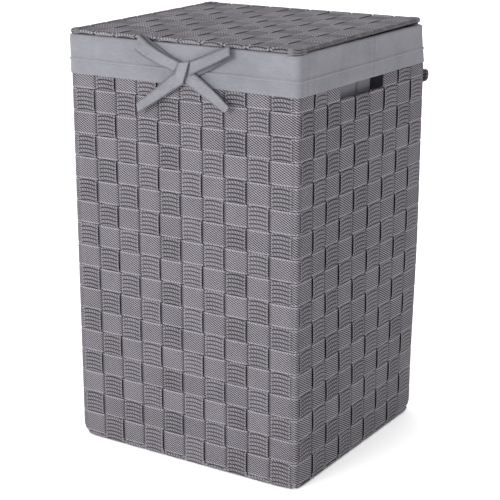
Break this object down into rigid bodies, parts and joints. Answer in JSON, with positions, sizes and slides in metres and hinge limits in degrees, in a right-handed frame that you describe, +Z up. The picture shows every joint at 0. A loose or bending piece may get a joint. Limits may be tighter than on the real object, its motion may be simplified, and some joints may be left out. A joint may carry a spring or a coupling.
{
  "type": "laundry hamper with lid",
  "caption": "Tall box-shaped laundry hamper of grey woven webbing on a wire frame, with a hinged woven lid and a cotton liner folded over the rim and tied with a ribbon bow.",
  "frame": {"origin": "middle of the footprint, on the floor", "axes": "+Z up, -Y the front with the bow, +X to the right seen from the front"},
  "size_m": [0.353, 0.374, 0.5704],
  "materials": {
    "webbing": "grey ribbed polypropylene webbing, satin",
    "liner_cotton": "light blue-grey plain-weave cotton, matte",
    "ribbon": "light grey cotton ribbon, matte",
    "steel_wire": "grey powder-coated wire, satin"
  },
  "bodies": {
    "basket": {"base_wire": "steel_wire", "rim_wire": "steel_wire", "corner_post_front_left": "steel_wire", "corner_post_front_right": "steel_wire", "corner_post_rear_left": "steel_wire", "corner_post_rear_right": "steel_wire", "hoop_01": "webbing", "hoop_02": "webbing", "hoop_03": "webbing", "hoop_04": "webbing", "hoop_05": "webbing", "hoop_06": "webbing", "hoop_07": "webbing", "hoop_08": "webbing", "hoop_09": "webbing", "hoop_10": "webbing", "hoop_11": "webbing", "hoop_12": "webbing", "hoop_13": "webbing", "hoop_14": "webbing", "hoop_15": "webbing", "hoop_16": "webbing", "hoop_17_front": "webbing", "hoop_17_rear": "webbing", "hoop_18": "webbing", "uprights_front": "webbing", "uprights_rear": "webbing", "uprights_left": "webbing", "uprights_right": "webbing", "slot_uprights_left": "webbing", "slot_uprights_right": "webbing", "floor_straps_long": "webbing", "floor_straps_cross": "webbing", "liner_bag": "liner_cotton", "liner_cuff": "liner_cotton", "ribbon_knot": "ribbon", "ribbon_loop_left": "ribbon", "ribbon_loop_right": "ribbon", "ribbon_tail_left": "ribbon", "ribbon_tail_right": "ribbon", "hinge_strap_left": "webbing", "hinge_strap_right": "webbing"},
    "lid": {"lid_wire": "steel_wire", "lid_straps_long": "webbing", "lid_straps_cross": "webbing", "lid_hinge_strap_left": "webbing", "lid_hinge_strap_right": "webbing"}
  },
  "joints": [
    {"name": "lid_hinge", "type": "hinge", "parent": "basket", "child": "lid", "pos_m": [0, 0.16765, 0.56425], "axis": [-1, 0, 0], "range_deg": [0, 220]}
  ]
}
